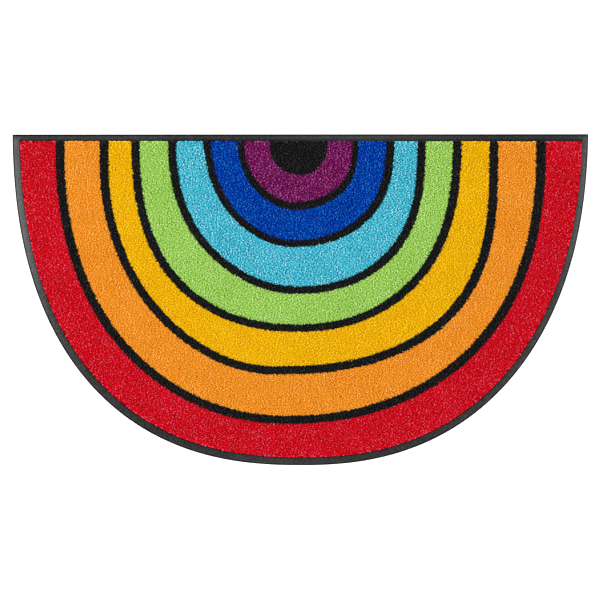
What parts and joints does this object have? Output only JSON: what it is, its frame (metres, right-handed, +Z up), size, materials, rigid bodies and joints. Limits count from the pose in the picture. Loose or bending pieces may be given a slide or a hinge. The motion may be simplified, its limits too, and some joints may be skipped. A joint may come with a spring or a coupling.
{
  "type": "doormat",
  "caption": "Half-round rainbow doormat: flat printed cut-pile carpet pressed into a thin rubber backing with a bare, sloped rubber border.",
  "frame": {"origin": "on the floor, under the middle of the mat's box", "axes": "+X along the straight edge, +Y towards the straight edge, +Z up from the floor"},
  "size_m": [0.8507, 0.488, 0.007],
  "materials": {
    "rubber": "matte, finely grained nitrile rubber",
    "pile": "dense cut nylon pile, red in its widest band",
    "black_pile": "cut nylon pile printed black",
    "purple_pile": "cut nylon pile printed purple",
    "blue_pile": "cut nylon pile printed blue",
    "light_blue_pile": "cut nylon pile printed light blue",
    "green_pile": "cut nylon pile printed green",
    "yellow_pile": "cut nylon pile printed yellow",
    "orange_pile": "cut nylon pile printed orange",
    "red_pile": "cut nylon pile printed red"
  },
  "bodies": {
    "root": {"rubber_backing": "rubber", "pile_carpet": "pile"}
  },
  "joints": []
}
